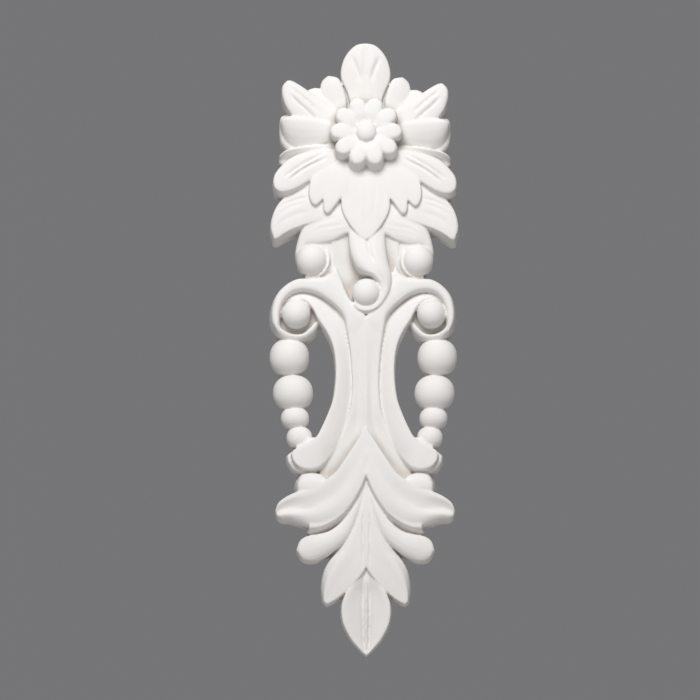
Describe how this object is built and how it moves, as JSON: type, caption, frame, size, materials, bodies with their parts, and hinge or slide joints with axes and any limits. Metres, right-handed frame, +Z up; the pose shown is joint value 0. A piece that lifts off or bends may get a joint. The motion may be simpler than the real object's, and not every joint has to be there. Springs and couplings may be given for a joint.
{
  "type": "floral applique",
  "caption": "Upright cast floral applique with a leaf rosette, open C-scrolls, bead strands and a pointed acanthus drop on a flat back, made to be fixed to a wall, door or furniture panel.",
  "frame": {"origin": "on the flat back face, behind the stem, about half way up the ornament", "axes": "+Z up along the ornament, from the pointed foot to the top leaf; +Y out of the flat back, towards what it is fixed to; the carved face looks along -Y"},
  "size_m": [0.0927, 0.0252, 0.3001],
  "materials": {
    "cast_white": "matt, as cast, unpainted white plaster"
  },
  "bodies": {
    "root": {"floral_applique": "cast_white"}
  },
  "joints": []
}
